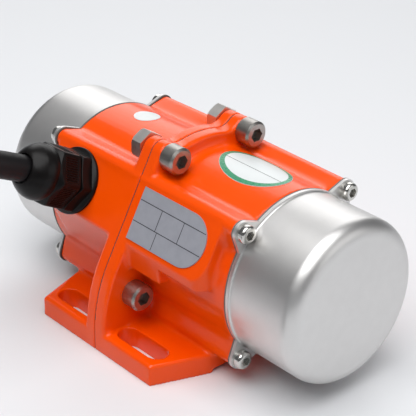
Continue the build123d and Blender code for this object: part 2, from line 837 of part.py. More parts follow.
with BuildPart() as front_clamp_screw:
    with BuildSketch(Plane.XZ.offset(-clamp_screw_offset)):
        with Locations((clamp_x, clamp_z + stub_radius / 2)):
            Circle(clamp_screw_radius)
    extrude(amount=2 * clamp_screw_offset)
    with BuildSketch(Plane.XZ.offset(clamp_screw_offset)):
        with Locations((clamp_x, clamp_z + stub_radius / 2)):
            Circle(clamp_head_radius)
            RegularPolygon(clamp_screw_radius / 2 * 1.5, 6, major_radius=False, mode=Mode.SUBTRACT)
    extrude(amount=clamp_head_radius)
front_clamp_screw.part.label = "front_clamp_screw"
export_step(front_clamp_screw.part, "parts/front_clamp_screw.step")

# Circlip on the shaft end that holds the weights
with BuildPart() as front_shaft_clip:
    clip_inner = stub_radius - circlip_bite + snug
    add(disc(groove_start + snug, groove_start + groove_length - snug, clip_inner + circlip_depth, clip_inner))
    with BuildSketch(across(groove_start)):
        with Locations((0, shaft_height + clip_inner + circlip_depth)):
            Rectangle(stub_radius, 2 * circlip_depth + stub_radius)
    extrude(amount=groove_length, mode=Mode.SUBTRACT)
front_shaft_clip.part.label = "front_shaft_clip"
export_step(front_shaft_clip.part, "parts/front_shaft_clip.step")

# The rear end holds the same bearing, weights and fixings, turned about the middle of the motor
rear_twins = {
    "rear_bearing_outer": front_bearing_outer,
    "rear_bearing_inner": front_bearing_inner,
    "rear_bearing_balls": front_bearing_balls,
    "rear_bearing_cage": front_bearing_cage,
    "rear_circlip": front_circlip,
    "rear_fixed_weight": front_fixed_weight,
    "rear_key": front_key,
    "rear_weight_spacer": front_weight_spacer,
    "rear_adjustable_weight": front_adjustable_weight,
    "rear_clamp_screw": front_clamp_screw,
    "rear_shaft_clip": front_shaft_clip,
}
for name, twin in rear_twins.items():
    with BuildPart() as rear_piece:
        mirror(twin.part, about=Plane.YZ)
    rear_piece.part.label = name
    export_step(rear_piece.part, f"parts/{name}.step")

# Rating plate: a thin plate stuck on the pad, square at the flange and round at its other end
plate_middle = -(plate_top + plate_height / 2)
with BuildPart() as rating_plate:
    with BuildSketch(side_plane):
        with Locations(((plate_start + plate_end) / 2, plate_middle)):
            Rectangle(plate_end - plate_start, plate_height)
    extrude(amount=plate_thickness)
    far_edges = rating_plate.edges().filter_by(lambda e: abs(e.length - plate_thickness) < 0.01)
    fillet(far_edges.group_by(Axis.X)[-1], plate_round)
rating_plate.part.label = "rating_plate"
export_step(rating_plate.part, "parts/rating_plate.step")

# Gland body: threaded spigot, spanner hexagon and the threaded neck that the nut runs on
gland_corner_radius = gland_hex / 2 / cos(radians(30))
gland_section = Plane(origin=gland_plane.origin, x_dir=(1, 0, 0), z_dir=side_down)
gland_axis = Axis(gland_plane.origin, side_normal)


def turned_hexagon(start, end, chamfer):
    """A hexagon bar about the gland's axis, its outer corners turned off at 30 degrees."""
    with BuildPart() as bar:
        with BuildSketch(gland_plane.offset(start)):
            RegularPolygon(gland_hex / 2, 6, major_radius=False)
        extrude(amount=end - start)
        with BuildSketch(gland_section):
            with BuildLine():
                Polyline(
                    (0, start),
                    (gland_corner_radius, start),
                    (gland_corner_radius, end - chamfer),
                    (gland_corner_radius - chamfer, end),
                    (0, end),
                    close=True,
                )
            make_face()
        revolve(axis=gland_axis, mode=Mode.INTERSECT)
    return bar.part


with BuildPart() as gland_body:
    add(turned_hexagon(0, gland_body_height, gland_chamfer))
    with BuildSketch(gland_section):
        with BuildLine():
            Polyline(
                (0, -gland_thread_length),
                (gland_thread_radius, -gland_thread_length),
                (gland_thread_radius, 0),
                (gland_flange_radius, 0),
                (gland_flange_radius, gland_flange_height),
                (gland_neck_radius, gland_flange_height),
                (gland_neck_radius, gland_neck_end),
                (0, gland_neck_end),
                close=True,
            )
        make_face()
    revolve(axis=gland_axis)
    with BuildSketch(gland_plane.offset(-gland_thread_length)):
        Circle(gland_bore_radius)
    extrude(amount=gland_thread_length + gland_neck_end, mode=Mode.SUBTRACT)
gland_body.part.label = "gland_body"
export_step(gland_body.part, "parts/gland_body.step")

# Gland nut: a hexagon skirt below a dome that closes in to the mouth
nut_start = gland_body_height + gland_gap
with BuildPart() as gland_nut:
    add(turned_hexagon(nut_start, gland_nut_hex_end, gland_nut_chamfer))
    with BuildSketch(gland_section):
        with BuildLine():
            Line((0, gland_nut_hex_end), (gland_dome_radius, gland_nut_hex_end))
            SagittaArc(
                (gland_dome_radius, gland_nut_hex_end), (gland_mouth_radius, gland_mouth), -gland_dome_bulge
            )
            Line((gland_mouth_radius, gland_mouth), (0, gland_mouth))
            Line((0, gland_mouth), (0, gland_nut_hex_end))
        make_face()
    revolve(axis=gland_axis)
    with BuildSketch(gland_plane.offset(nut_start)):
        Circle(gland_neck_radius + snug)
    extrude(amount=gland_neck_end + snug - nut_start, mode=Mode.SUBTRACT)
    with BuildSketch(gland_plane.offset(nut_start)):
        Circle(seal_radius + snug)
    extrude(amount=seal_start + seal_length - nut_start, mode=Mode.SUBTRACT)
    with BuildSketch(gland_plane.offset(nut_start)):
        Circle(cable_radius + 3 * cable_play)
    extrude(amount=gland_mouth - nut_start, mode=Mode.SUBTRACT)
gland_nut.part.label = "gland_nut"
export_step(gland_nut.part, "parts/gland_nut.step")

# Gland seal: the rubber ring that the nut squeezes on the cable
with BuildPart() as gland_seal:
    with BuildSketch(gland_plane.offset(seal_start)):
        Circle(seal_radius)
        Circle(cable_radius, mode=Mode.SUBTRACT)
    extrude(amount=seal_length)
gland_seal.part.label = "gland_seal"
export_step(gland_seal.part, "parts/gland_seal.step")


def barrel_label(x, arc, half_length, half_width, turned=0):
    """A thin label on the tapered barrel: the layer over the casting, cut to an outline from above."""
    way = 1 if x > 0 else -1
    seam_rise = (half_body - seam_half) * tan(radians(barrel_draft))
    with BuildPart() as label:
        with BuildSketch(Plane.XZ):
            with BuildLine():
                Polyline(
                    (way * seam_half, shaft_height + barrel_radius + seam_rise),
                    (way * half_body, shaft_height + barrel_radius),
                    (way * half_body, shaft_height + barrel_radius + label_thickness),
                    (way * seam_half, shaft_height + barrel_radius + seam_rise + label_thickness),
                    close=True,
                )
            make_face()
        revolve(axis=shaft_axis)
        turn = arc / barrel_radius
        outward = (0, sin(turn), cos(turn))
        with BuildSketch(Plane(origin=(x, 0, shaft_height), x_dir=(1, 0, 0), z_dir=outward)):
            Ellipse(half_length, half_width, rotation=turned)
        extrude(amount=2 * barrel_radius, mode=Mode.INTERSECT)
    return label.part


# Labels stuck on top of the barrels: a bare oval one in front and a small round one behind
with BuildPart() as oval_label:
    add(barrel_label(oval_x, oval_arc, oval_half_length, oval_half_width, oval_turn))
oval_label.part.label = "oval_label"
export_step(oval_label.part, "parts/oval_label.step")

with BuildPart() as round_label:
    add(barrel_label(dot_x, dot_arc, dot_radius, dot_radius))
round_label.part.label = "round_label"
export_step(round_label.part, "parts/round_label.step")


def cord_tube(points, radius):
    """A tube of straight runs and tangent arcs, each arc as large as its two runs allow."""
    places = [Vector(*p) for p in points]
    radii = []
    for before, here, after in zip(places, places[1:], places[2:]):
        turn = radians((here - before).get_angle(after - here))
        shorter = min((here - before).length, (after - here).length)
        radii.append(0.45 * shorter / tan(turn / 2))
    print("cord radii", [round(r, 1) for r in radii])
    with BuildLine() as path:
        FilletPolyline(*points, radius=radii)
    start = path.line @ 0
    with BuildPart() as tube:
        with BuildSketch(Plane(origin=start, z_dir=path.line % 0)):
            Circle(radius)
        sweep(path=path.line)
    length = sum(edge.length for edge in path.edges())
    share = tube.part.volume / (pi * radius**2 * length)
    print("cord length", round(length, 1), "volume share", round(share, 4))
    return tube.part


def on_gland(height):
    """A point of the gland's axis, this far out from the pad."""
    return tuple(Vector(*on_side(gland_x, gland_drop)) + Vector(*side_normal) * height)




def on_coil(angle, radius):
    """A point of the coil's plan at this angle and distance from its middle."""
    return (coil_x + radius * cos(radians(angle)), coil_y + radius * sin(radians(angle)))


# Cable: out of the gland, over in a free bend and down to the floor, in line with the coil's first turn
coil_outer = coil_radius + cable_radius
coil_inner = coil_radius - cable_radius
lead_length = sqrt((coil_outer + cable_radius) ** 2 - coil_radius**2)
entry = Vector(*on_coil(coil_entry, coil_radius), cable_radius)
entry_way = Vector(-sin(radians(coil_entry)), cos(radians(coil_entry)), 0)
lead_start = entry - entry_way * lead_length
landing = lead_start - entry_way * landing_run
gland_points = [on_gland(seal_start), on_gland(seal_start + first_run)]
cable_points = gland_points + cable_run + [tuple(landing), tuple(lead_start)]
with BuildPart() as cable:
    add(cord_tube(cable_points, cable_radius))
cable.part.label = "cable"
export_step(cable.part, "parts/cable.step")

# Coil: under one and a half turns lying flat, with the straight lead that runs in below the upper turn
with BuildPart() as cable_coil:
    with BuildSketch(Plane.XY):
        with Locations((coil_x, coil_y)):
            Circle(coil_outer)
            Circle(coil_inner, mode=Mode.SUBTRACT)
    extrude(amount=2 * cable_radius)
    with BuildSketch(Plane.XY.offset(2 * cable_radius)):
        with BuildLine():
            climb_start = coil_entry - coil_climb
            CenterArc((coil_x, coil_y), coil_outer, climb_start, coil_exit - climb_start)
            CenterArc((coil_x, coil_y), coil_inner, climb_start, coil_exit - climb_start)
            Line(on_coil(climb_start, coil_inner), on_coil(climb_start, coil_outer))
            Line(on_coil(coil_exit, coil_inner), on_coil(coil_exit, coil_outer))
        make_face()
    extrude(amount=2 * cable_radius)
    with BuildSketch(Plane(origin=lead_start, z_dir=entry_way)):
        Circle(cable_radius)
    extrude(amount=lead_length)
cable_coil.part.label = "cable_coil"
export_step(cable_coil.part, "parts/cable_coil.step")

# Tail: off the top of the coil, down beside it and into the plug's sleeve
tail_start = Vector(*on_coil(coil_exit, coil_radius), 3 * cable_radius)
exit_way = Vector(-sin(radians(coil_exit)), cos(radians(coil_exit)), 0)
plug_axis_z = plug_height / 2
tail_points = [
    tuple(tail_start),
    tuple(tail_start + exit_way * tail_run),
    (plug_x - tail_bow, plug_y - 2 * tail_run, tail_start.Z),
    (plug_x, plug_y - tail_run, plug_axis_z),
    (plug_x, plug_y, plug_axis_z),
]
with BuildPart() as cable_tail:
    add(cord_tube(tail_points, cable_radius))
cable_tail.part.label = "cable_tail"
export_step(cable_tail.part, "parts/cable_tail.step")

# Plug: a tapered sleeve and a rounded moulded body, lying on its side
body_y = plug_y + plug_relief_length
with BuildPart() as plug_body:
    with BuildSketch(Plane(origin=(plug_x, plug_y, plug_axis_z), z_dir=(0, 1, 0))):
        Circle(plug_relief_radius)
    with BuildSketch(Plane(origin=(plug_x, body_y, plug_axis_z), z_dir=(0, 1, 0))):
        Circle((plug_relief_radius + plug_axis_z) / 2)
    loft()
    with BuildSketch(Plane(origin=(plug_x, body_y, plug_axis_z), x_dir=(1, 0, 0), z_dir=(0, 1, 0))):
        RectangleRounded(plug_width, plug_height, plug_round)
    extrude(amount=plug_length)
    fillet(plug_body.edges().group_by(Axis.Y)[-1], plug_round / 3)
plug_body.part.label = "plug_body"
export_step(plug_body.part, "parts/plug_body.step")

# Three flat plug pins: two slanted ones above and an upright one below
with BuildPart() as plug_pins:
    with BuildSketch(Plane(origin=(plug_x, body_y + plug_length, plug_axis_z), x_dir=(1, 0, 0), z_dir=(0, 1, 0))):
        with Locations(Location((-pin_spread, 0, 0), 30), Location((pin_spread, 0, 0), -30)):
            Rectangle(pin_thickness, pin_width)
        with Locations((0, pin_spread + pin_width / 2)):
            Rectangle(pin_thickness, pin_width)
    extrude(amount=pin_length)
plug_pins.part.label = "plug_pins"
export_step(plug_pins.part, "parts/plug_pins.step")
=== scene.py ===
import math
import bpy
import numpy as np
from mathutils import Matrix, Vector


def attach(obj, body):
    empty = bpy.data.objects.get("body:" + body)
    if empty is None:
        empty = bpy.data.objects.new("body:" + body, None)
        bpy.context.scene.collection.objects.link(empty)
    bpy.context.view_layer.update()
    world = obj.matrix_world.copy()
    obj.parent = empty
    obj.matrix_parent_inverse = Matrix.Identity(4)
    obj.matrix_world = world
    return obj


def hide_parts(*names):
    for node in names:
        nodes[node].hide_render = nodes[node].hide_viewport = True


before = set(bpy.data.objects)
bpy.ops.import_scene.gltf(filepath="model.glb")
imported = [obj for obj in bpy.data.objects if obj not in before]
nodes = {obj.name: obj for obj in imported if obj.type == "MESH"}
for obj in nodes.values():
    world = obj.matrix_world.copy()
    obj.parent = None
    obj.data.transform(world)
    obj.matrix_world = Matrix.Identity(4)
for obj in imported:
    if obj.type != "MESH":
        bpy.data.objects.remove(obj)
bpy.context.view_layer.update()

# Camera: a long lens looking down on the front cap from the viewer's right, with the rear cap and the cable
# leaving the picture at its left edge.
picture_px = 416
focal_px = 1365.6
camera_place = Vector((0.4330, -0.3844, 0.3517))
right_way = Vector((0.6641, 0.7475, 0.0152))
down_way = Vector((0.3515, -0.2943, -0.8887))
sight = Vector((-0.6599, 0.5955, -0.4582))
lens = bpy.data.cameras.new("studio_camera")
lens.sensor_width = 36.0
lens.lens = focal_px / picture_px * lens.sensor_width
camera = bpy.data.objects.new("studio_camera", lens)
bpy.context.scene.collection.objects.link(camera)
turned = Matrix((right_way, -down_way, -sight)).transposed().to_4x4()
camera.matrix_world = Matrix.Translation(camera_place) @ turned
bpy.context.scene.camera = camera
bpy.context.scene.view_settings.view_transform = "Standard"


# Studio: a pale floor that the motor stands on, a dim even surround and three soft panels. The one overhead
# gives most of the light and the band on the front cap's rounding, the one behind a pale sheen along the
# castings' tops, and the one on the right lifts the far side.
def new_object(name, mesh):
    piece = bpy.data.objects.new(name, mesh)
    bpy.context.scene.collection.objects.link(piece)
    return piece


def new_material(name):
    material = bpy.data.materials.new(name)
    material.use_nodes = True
    shader = material.node_tree.nodes["Principled BSDF"]
    return material, material.node_tree, shader


floor_half = 12.0
floor_mesh = bpy.data.meshes.new("studio_floor")
floor_corners = [(-1, -1), (1, -1), (1, 1), (-1, 1)]
floor_mesh.from_pydata([(x * floor_half, y * floor_half, 0) for x, y in floor_corners], [], [(0, 1, 2, 3)])
floor = new_object("studio_floor", floor_mesh)
floor_paint, floor_tree, floor_shader = new_material("pale_floor")
floor_shader.inputs["Base Color"].default_value = (0.74, 0.75, 0.77, 1)
floor_shader.inputs["Roughness"].default_value = 0.6
floor_shader.inputs["Emission Color"].default_value = (0.95, 0.97, 1.0, 1)
floor_place = floor_tree.nodes.new("ShaderNodeTexCoord")
floor_reach = floor_tree.nodes.new("ShaderNodeVectorMath")
floor_reach.operation = "LENGTH"
floor_glow = floor_tree.nodes.new("ShaderNodeMapRange")
floor_glow.interpolation_type = "SMOOTHSTEP"
floor_glow.inputs["From Min"].default_value = 0.5
floor_glow.inputs["From Max"].default_value = 2.4
floor_glow.inputs["To Max"].default_value = 0.62
floor_rays = floor_tree.nodes.new("ShaderNodeLightPath")
floor_seen = floor_tree.nodes.new("ShaderNodeMath")
floor_seen.operation = "MAXIMUM"
floor_shown = floor_tree.nodes.new("ShaderNodeMath")
floor_shown.operation = "MULTIPLY"
floor_tree.links.new(floor_place.outputs["Object"], floor_reach.inputs[0])
floor_tree.links.new(floor_reach.outputs["Value"], floor_glow.inputs["Value"])
floor_tree.links.new(floor_rays.outputs["Is Camera Ray"], floor_seen.inputs[0])
floor_tree.links.new(floor_rays.outputs["Is Glossy Ray"], floor_seen.inputs[1])
floor_tree.links.new(floor_seen.outputs["Value"], floor_shown.inputs[0])
floor_tree.links.new(floor_glow.outputs["Result"], floor_shown.inputs[1])
floor_tree.links.new(floor_shown.outputs["Value"], floor_shader.inputs["Emission Strength"])
floor_mesh.materials.append(floor_paint)

world = bpy.data.worlds.new("studio_world")
bpy.context.scene.world = world
world.use_nodes = True
world.node_tree.nodes["Background"].inputs["Color"].default_value = (0.86, 0.88, 0.92, 1)
world.node_tree.nodes["Background"].inputs["Strength"].default_value = 0.14


def soft_lamp(name, place, aim, size, power):
    light = bpy.data.lights.new(name, "AREA")
    light.shape = "RECTANGLE"
    light.size, light.size_y = size
    light.energy = power
    lamp = bpy.data.objects.new(name, light)
    bpy.context.scene.collection.objects.link(lamp)
    lamp.location = place
    lamp.rotation_euler = (Vector(aim) - Vector(place)).to_track_quat("-Z", "Y").to_euler()


motor_middle = (0, 0, 0.05)
soft_lamp("overhead_panel", (0.12, -0.36, 1.20), motor_middle, (1.3, 1.3), 20.0)
soft_lamp("rear_panel", (-1.1, 1.05, 0.85), motor_middle, (1.5, 1.1), 10.0)
soft_lamp("right_panel", (1.2, 0.50, 0.60), motor_middle, (1.2, 0.9), 3.5)


# Housing halves: aluminium castings, sprayed with gloss orange enamel after machining. The fillets and the
# thick coat leave no sharp crease, so each skin is drawn again on a fine grid, its hollows filled and its
# edges eased, apart from the machined faces that meet the gaskets.
noise_low = 0.35
noise_high = 0.65
relief_strength = 0.4
coat_roughness = 0.08


def link(tree, out, into):
    tree.links.new(out, into)


def noise(tree, scale):
    place = tree.nodes.new("ShaderNodeTexCoord")
    texture = tree.nodes.new("ShaderNodeTexNoise")
    texture.inputs["Scale"].default_value = scale
    texture.inputs["Detail"].default_value = 3.0
    texture.inputs["Roughness"].default_value = 0.5
    link(tree, place.outputs["Object"], texture.inputs["Vector"])
    return texture.outputs["Fac"]


def between(tree, factor, low, high):
    spread = tree.nodes.new("ShaderNodeMapRange")
    spread.inputs["From Min"].default_value = noise_low
    spread.inputs["From Max"].default_value = noise_high
    spread.inputs["To Min"].default_value = low
    spread.inputs["To Max"].default_value = high
    link(tree, factor, spread.inputs["Value"])
    return spread.outputs["Result"]


def two_tone(tree, factor, first, second):
    ramp = tree.nodes.new("ShaderNodeValToRGB")
    ramp.color_ramp.elements[0].position = noise_low
    ramp.color_ramp.elements[1].position = noise_high
    ramp.color_ramp.elements[0].color = (*first, 1)
    ramp.color_ramp.elements[1].color = (*second, 1)
    link(tree, factor, ramp.inputs["Fac"])
    return ramp.outputs["Color"]


def bump(tree, shader, height, distance):
    node = tree.nodes.new("ShaderNodeBump")
    node.inputs["Strength"].default_value = relief_strength
    node.inputs["Distance"].default_value = distance
    link(tree, height, node.inputs["Height"])
    link(tree, node.outputs["Normal"], shader.inputs["Normal"])


def finish(name, tones, rough, grain, metal=0.0, coat=0.0, relief=0.0, shine=0.5):
    """One finish: two close tones, a roughness range and a fine relief, all on noise of the given scale."""
    material, tree, shader = new_material(name)
    field = noise(tree, grain)
    link(tree, two_tone(tree, noise(tree, grain / 8), *tones), shader.inputs["Base Color"])
    link(tree, between(tree, field, *rough), shader.inputs["Roughness"])
    shader.inputs["Metallic"].default_value = metal
    shader.inputs["Specular IOR Level"].default_value = shine
    shader.inputs["Coat Weight"].default_value = coat
    shader.inputs["Coat Roughness"].default_value = coat_roughness
    if relief:
        bump(tree, shader, field, relief)
    return material


def dress(names, material):
    for name in names:
        mesh = nodes[name].data
        mesh.materials.clear()
        mesh.materials.append(material)


grid = 0.0006
edge_rounds = 2
fillet_rounds = 60
step_share = 0.5
least_hollow = 0.0000022
skin_faces = 110000
shaft_height = 0.0458
bore_limit = 0.0372
seam_keep = 0.0012
end_keep = 0.0619
keep_fade = 0.001
base_keep = 0.001
base_fade = 0.002
slot_place = (0.02315, 0.053)
slot_reach = 0.01025
slot_radius = 0.00525
slot_edge = 0.0012
foot_top = 0.0112
enamel_bridge = 0.00022


def drift(points, ends):
    """How far each point lies from the middle of its neighbours."""
    count = len(points)
    first, second = ends.T
    shared = np.bincount(first, minlength=count) + np.bincount(second, minlength=count)
    middle = np.empty_like(points)
    for axis in range(3):
        total = np.bincount(first, weights=points[second, axis], minlength=count)
        total += np.bincount(second, weights=points[first, axis], minlength=count)
        middle[:, axis] = total / np.maximum(shared, 1)
    return middle - points


def cast_skin(node, name):
    """A casting's skin on a fine grid, with fillets and eased edges away from its machined faces."""
    remade = new_object(name, nodes[node].data.copy())
    skin = remade.modifiers.new("fine_grid", "REMESH")
    skin.mode = "VOXEL"
    skin.voxel_size = grid
    seen = bpy.context.evaluated_depsgraph_get()
    mesh = bpy.data.meshes.new_from_object(remade.evaluated_get(seen))
    remade.modifiers.clear()
    points = np.empty(3 * len(mesh.vertices))
    normals = np.empty(3 * len(mesh.vertices))
    ends = np.empty(2 * len(mesh.edges), dtype=np.int64)
    mesh.vertices.foreach_get("co", points)
    mesh.vertices.foreach_get("normal", normals)
    mesh.edges.foreach_get("vertices", ends)
    points = points.reshape(-1, 3)
    normals = normals.reshape(-1, 3)
    ends = ends.reshape(-1, 2)
    along = np.abs(points[:, 0])
    from_shaft = np.hypot(points[:, 1], points[:, 2] - shaft_height)
    outside = np.clip((from_shaft - bore_limit) / keep_fade, 0, 1)
    off_seam = np.clip((along - seam_keep) / keep_fade, 0, 1)
    off_end = np.clip((end_keep - along) / keep_fade, 0, 1)
    off_base = np.clip((points[:, 2] - base_keep) / base_fade, 0, 1)
    past_slot_end = np.clip(np.abs(along - slot_place[0]) - slot_reach, 0, None)
    from_slot = np.hypot(past_slot_end, np.abs(points[:, 1]) - slot_place[1]) - slot_radius
    low = points[:, 2] < foot_top
    off_slots = np.where(low, np.clip((np.abs(from_slot) - slot_edge) / keep_fade, 0, 1), 1)
    free = (outside * (off_seam * off_end) * off_slots * off_base)[:, None]
    for _ in range(edge_rounds):
        points += step_share * free * drift(points, ends)
    for _ in range(fillet_rounds):
        way = drift(points, ends)
        filling = np.sum(way * normals, axis=1, keepdims=True) > least_hollow
        points += step_share * free * way * filling
    near_seam = np.clip((2 * seam_keep - np.abs(points[:, 0])) / seam_keep, 0, 1)
    points[:, 0] -= np.sign(points[:, 0]) * near_seam * enamel_bridge
    mesh.vertices.foreach_set("co", points.ravel())
    mesh.shade_smooth()
    remade.data = mesh
    thin = remade.modifiers.new("fewer_faces", "DECIMATE")
    thin.ratio = min(1.0, skin_faces / (2 * len(mesh.polygons)))
    seen = bpy.context.evaluated_depsgraph_get()
    remade.data = bpy.data.meshes.new_from_object(remade.evaluated_get(seen))
    remade.modifiers.clear()
    remade.data.shade_smooth()
    remade.data.materials.clear()
    remade.data.materials.append(orange_enamel)
    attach(remade, "root")
    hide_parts(node)


enamel_tones = [(0.90, 0.074, 0.0), (0.92, 0.078, 0.0)]
orange_enamel = finish("orange_enamel", enamel_tones, (0.22, 0.25), 420, coat=0.14, relief=0.000008,
                       shine=0.26)
dress(["housing_front", "housing_rear"], orange_enamel)
cast_skin("housing_front", "front_casting")
cast_skin("housing_rear", "rear_casting")

# Gaskets: thin sheet, dark between the halves and grey under the caps, clamped by the screws. The dark one is
# cut a hair smaller than the flange, so that the enamel bridges all but a fine line of it.
sheet_tones = [(0.03, 0.04, 0.035), (0.05, 0.06, 0.05)]
gasket_sheet = finish("gasket_sheet", sheet_tones, (0.6, 0.8), 400, relief=0.0001)
dress(["body_gasket"], gasket_sheet)
grey_tones = [(0.12, 0.115, 0.105), (0.15, 0.145, 0.135)]
grey_sheet = finish("grey_sheet", grey_tones, (0.6, 0.8), 400, relief=0.0001)
dress(["front_cap_gasket", "rear_cap_gasket"], grey_sheet)
seam_inset = 0.007
seam_gasket = new_object("seam_gasket", nodes["body_gasket"].data.copy())
for point in seam_gasket.data.vertices:
    point.co.y *= 1 - seam_inset
    point.co.z += (shaft_height - point.co.z) * seam_inset
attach(seam_gasket, "root")
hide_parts("body_gasket")

# End caps: cups that cover the weights at each end, with four ears to screw them down. They are deep-drawn
# from stainless sheet and tumbled to a fine, even satin.
satin_tones = [(0.675, 0.665, 0.655), (0.69, 0.68, 0.67)]
satin_steel = finish("satin_steel", satin_tones, (0.40, 0.43), 1500, metal=1.0, relief=0.000003)
dress(["front_cap", "rear_cap"], satin_steel)

# Cap screws: small button heads with a hexagon socket, one through each ear into a lobe of the casting. They
# are steel, zinc plated and still bright.
bright_tones = [(0.58, 0.57, 0.54), (0.68, 0.67, 0.64)]
bright_zinc = finish("bright_zinc", bright_tones, (0.14, 0.24), 600, metal=1.0, relief=0.000006)
dress(["front_cap_screws", "rear_cap_screws"], bright_zinc)

# Flange bolts and nuts: socket head bolts that clamp the two castings, each with a plain hexagon nut. They are
# zinc coated steel, the bolts oiled and duller than the cap screws, and so are the weights' clamp screws.
oiled_tones = [(0.37, 0.355, 0.33), (0.42, 0.40, 0.375)]
oiled_zinc = finish("oiled_zinc", oiled_tones, (0.32, 0.38), 900, metal=1.0, relief=0.000006)
dress(["main_bolts", "front_clamp_screw", "rear_clamp_screw"], oiled_zinc)
nut_zinc = finish("nut_zinc", [(0.66, 0.64, 0.61), (0.70, 0.68, 0.65)], (0.34, 0.38), 300, metal=1.0)
dress(["main_nuts"], nut_zinc)

# Motor inside: pressed laminations, varnished copper heads, cast aluminium end rings on the rotor and a
# ground shaft with its keys and spacers. None of it shows until the castings are parted.
core_tones = [(0.20, 0.20, 0.21), (0.27, 0.27, 0.28)]
core_steel = finish("core_steel", core_tones, (0.35, 0.5), 900, metal=1.0, relief=0.0001)
dress(["stator_core", "rotor_core"], core_steel)
copper_tones = [(0.35, 0.10, 0.03), (0.48, 0.16, 0.05)]
varnished_copper = finish("varnished_copper", copper_tones, (0.25, 0.4), 900, metal=0.6, coat=0.6,
                          relief=0.0004)
dress(["front_winding", "rear_winding"], varnished_copper)
aluminium_tones = [(0.50, 0.51, 0.52), (0.58, 0.59, 0.60)]
cast_aluminium = finish("cast_aluminium", aluminium_tones, (0.4, 0.55), 300, metal=1.0, relief=0.0002)
dress(["rotor_end_rings"], cast_aluminium)
shaft_tones = [(0.42, 0.42, 0.43), (0.48, 0.48, 0.49)]
ground_steel = finish("ground_steel", shaft_tones, (0.16, 0.26), 700, metal=1.0, relief=0.00002)
dress(["shaft", "front_key", "rear_key", "front_weight_spacer", "rear_weight_spacer"], ground_steel)

# Bearings, circlips and eccentric weights, the same at both ends of the shaft: polished bearing steel round a
# sheet cage, spring steel clips, and weights cut from plate, one keyed to the shaft and one clamped on it.
bearing_tones = [(0.58, 0.58, 0.59), (0.64, 0.64, 0.65)]
bearing_steel = finish("bearing_steel", bearing_tones, (0.08, 0.16), 600, metal=1.0)
cage_sheet = finish("cage_sheet", [(0.45, 0.42, 0.36), (0.52, 0.49, 0.42)], (0.3, 0.42), 600, metal=1.0)
spring_steel = finish("spring_steel", [(0.04, 0.04, 0.042), (0.06, 0.06, 0.062)], (0.35, 0.5), 600, metal=0.9)
weight_tones = [(0.30, 0.30, 0.31), (0.38, 0.38, 0.38)]
cut_plate = finish("cut_plate", weight_tones, (0.3, 0.45), 350, metal=1.0, relief=0.0001)
for end in ("front", "rear"):
    dress([f"{end}_bearing_outer", f"{end}_bearing_inner", f"{end}_bearing_balls"], bearing_steel)
    dress([f"{end}_bearing_cage"], cage_sheet)
    dress([f"{end}_circlip", f"{end}_shaft_clip"], spring_steel)
    dress([f"{end}_fixed_weight", f"{end}_adjustable_weight"], cut_plate)

# Rating plate: a thin matt silvered plate, square at the flange and round at its far end, with black ruled
# boxes and nothing written in them.
side_lean = math.radians(28.2)
side_out = Vector((0, -math.cos(side_lean), math.sin(side_lean)))
side_down = Vector((0, -math.sin(side_lean), -math.cos(side_lean)))
side_top = Vector((0, -0.028564, 0.092449))
plate_left, plate_right = 0.0056, 0.052
plate_upper, plate_lower = 0.0162, 0.0411
plate_round = 0.0124
plate_face = 0.0005
rule_half = 0.00017
rule_lift = 0.00003
rule_margin = 0.0003


def on_plate(x, drop):
    return side_top + Vector((x, 0, 0)) + side_down * drop + side_out * (plate_face + rule_lift)


def plate_end(drop):
    """Where the plate's round end stops at this height, less the margin."""
    up = max(0.0, plate_upper + plate_round - drop, drop - (plate_lower - plate_round))
    return plate_right - plate_round + math.sqrt(plate_round**2 - up**2) - rule_margin


header_drop = 0.0223
middle_drop = 0.0323
header_stops = (0.0210, 0.0359)
footer_stop = 0.0225
rules = [((plate_left + rule_margin, d), (plate_end(d), d)) for d in (header_drop, middle_drop)]
rules += [((x, header_drop), (x, middle_drop)) for x in header_stops]
rules += [((footer_stop, middle_drop), (footer_stop, plate_lower - rule_margin))]
corners = []
strips = []
for (x0, d0), (x1, d1) in rules:
    wide_x = rule_half if x0 == x1 else 0
    wide_d = rule_half if d0 == d1 else 0
    strips.append(tuple(range(len(corners), len(corners) + 4)))
    corners += [on_plate(x0 - wide_x, d1 + wide_d), on_plate(x1 + wide_x, d1 + wide_d),
                on_plate(x1 + wide_x, d0 - wide_d), on_plate(x0 - wide_x, d0 - wide_d)]
rule_mesh = bpy.data.meshes.new("plate_rules")
rule_mesh.from_pydata(corners, [], strips)
plate_rules = new_object("plate_rules", rule_mesh)
silver_tones = [(0.36, 0.365, 0.41), (0.39, 0.395, 0.44)]
silver_sheet = finish("silver_sheet", silver_tones, (0.40, 0.5), 1800, metal=0.3)
dress(["rating_plate"], silver_sheet)
black_ink = finish("black_ink", [(0.010, 0.010, 0.012), (0.016, 0.016, 0.018)], (0.4, 0.5), 900)
rule_mesh.materials.append(black_ink)
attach(plate_rules, "root")

# Labels on top of the barrels: glossy printed film, stuck on the enamel. The oval in front has a green rim
# and one ruled line and is bare otherwise, and the small round one behind is bare.
barrel_radius = 0.040
half_body = 0.0627
barrel_draft = math.radians(1.0)
label_thickness = 0.0002
print_lift = 0.00003
oval_x = 0.0347
oval_turn = math.radians(-6.0)
oval_around = 0.0036 / barrel_radius
oval_half = (0.0203, 0.0142)


def on_label(along, wide):
    """A point of the oval label's face, from its own long and short way."""
    x = oval_x + along * math.cos(oval_turn) - wide * math.sin(oval_turn)
    wide_turned = along * math.sin(oval_turn) + wide * math.cos(oval_turn)
    radius = barrel_radius + (half_body - x) * math.tan(barrel_draft) + label_thickness + print_lift
    deep = math.sqrt(radius**2 - wide_turned**2)
    y = wide_turned * math.cos(oval_around) + deep * math.sin(oval_around)
    z = deep * math.cos(oval_around) - wide_turned * math.sin(oval_around)
    return (x, y, shaft_height + z)


